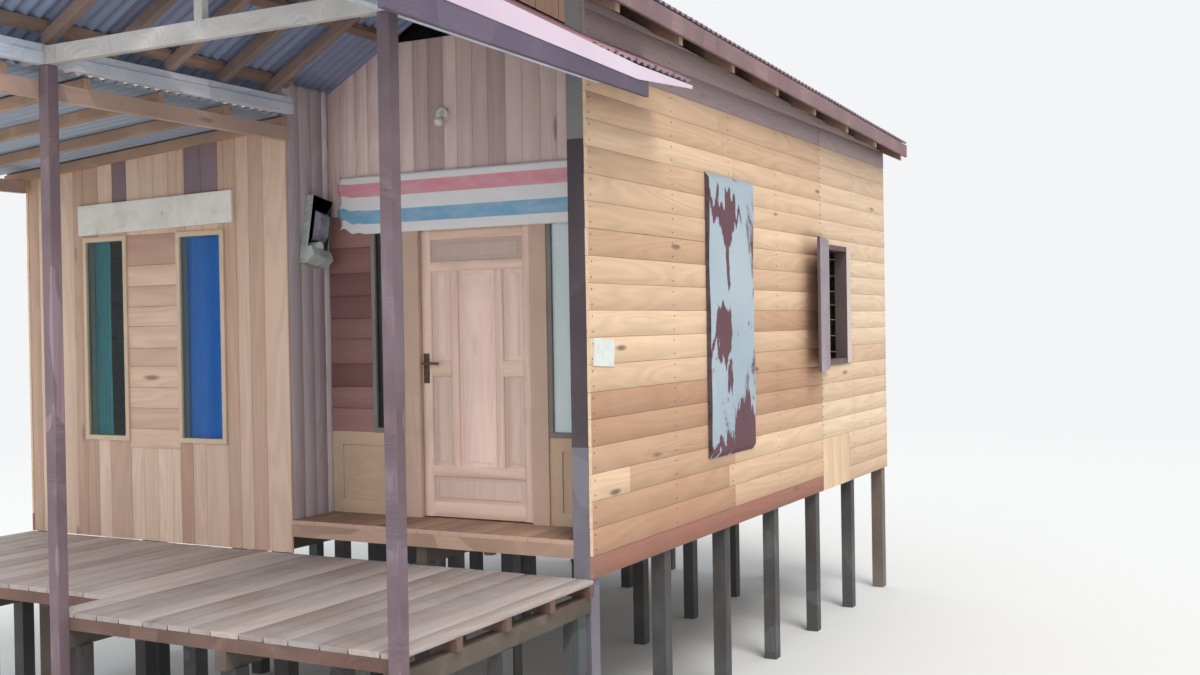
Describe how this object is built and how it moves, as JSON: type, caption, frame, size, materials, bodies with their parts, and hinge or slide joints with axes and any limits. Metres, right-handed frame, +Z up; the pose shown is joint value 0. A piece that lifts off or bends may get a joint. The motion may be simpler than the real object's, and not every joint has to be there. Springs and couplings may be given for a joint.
{
  "type": "stilt house",
  "caption": "Timber house on stilts with a gabled corrugated roof, a recessed front door, a gabled porch, a lean-to roof and plank decks.",
  "frame": {"origin": "on the ground, under the middle of the outline", "axes": "+Z up, +Y from the porch towards the rear wall, +X towards the wall with the zinc panel"},
  "size_m": [4.91, 8.0406, 5.4774],
  "materials": {
    "stilt_timber": "weathered dark timber",
    "frame_timber": "rough sawn",
    "floor_timber": "worn boards",
    "corner_post_timber": "dark weathered",
    "side_boards": "sawn boards",
    "front_boards": "planed vertical boards",
    "bay_boards": "planed vertical boards",
    "dark_boards": "dark red boards",
    "low_panel_timber": "planed",
    "joinery_timber": "planed door timber",
    "door_metal": "dark hardware",
    "hinge_metal": "dull steel hinges",
    "window_timber": "grey weathered",
    "window_glass": "clear glass",
    "curtain_cloth": "light cloth",
    "header_paint": "faded white paint",
    "shutter_timber": "dark weathered",
    "zinc": "weathered zinc with rust",
    "pelmet_plastic": "striped plastic sheet",
    "box_metal": "grey enclosure",
    "lamp_plastic": "white plastic",
    "post_timber": "weathered posts",
    "beam_timber": "grey weathered",
    "tie_timber": "pale weathered",
    "rafter_timber": "rough sawn",
    "lean_timber": "sawn pale timber",
    "porch_sheet_metal": "corrugated, blue grey underside",
    "roof_sheet_metal": "corrugated, faded maroon",
    "flashing_metal": "faded maroon metal",
    "eave_timber": "red brown boards",
    "deck_timber": "grey brown planks"
  },
  "bodies": {
    "root": {"stilts": "stilt_timber", "bearers": "frame_timber", "floor_joists": "frame_timber", "floor_boards": "floor_timber", "corner_posts": "frame_timber", "front_corner_post": "corner_post_timber", "right_wall": "side_boards", "left_wall": "side_boards", "rear_wall": "side_boards", "front_wall_left": "front_boards", "return_wall": "bay_boards", "door_wall_sides": "dark_boards", "door_wall_head": "bay_boards", "low_panels": "low_panel_timber", "wall_studs": "frame_timber", "wall_plates": "frame_timber", "door_frame": "joinery_timber", "door_hinges": "hinge_metal", "window_frames": "window_timber", "window_panes": "window_glass", "window_curtains": "curtain_cloth", "header_board": "header_paint", "side_shutters": "shutter_timber", "zinc_panel": "zinc", "door_pelmet": "pelmet_plastic", "meter_box": "box_metal", "porch_lamp": "lamp_plastic", "porch_posts": "post_timber", "porch_beams": "beam_timber", "porch_tie_beam": "tie_timber", "porch_rafters": "rafter_timber", "roof_purlins": "rafter_timber", "porch_roof_sheets": "porch_sheet_metal", "lean_to_beams": "lean_timber", "lean_to_rafters": "lean_timber", "lean_to_sheet": "porch_sheet_metal", "gables": "front_boards", "main_rafters": "rafter_timber", "main_roof_sheets": "roof_sheet_metal", "roof_flashings": "flashing_metal", "eave_boards": "eave_timber", "deck_boards": "deck_timber", "deck_joists": "frame_timber"},
    "door": {"front_door": "joinery_timber", "door_hardware": "door_metal"}
  },
  "joints": [
    {"name": "front_door_hinge", "type": "hinge", "parent": "root", "child": "door", "pos_m": [1.5535, -1.40934, 1.307], "axis": [0, 0, -1], "range_deg": [0, 95]}
  ]
}
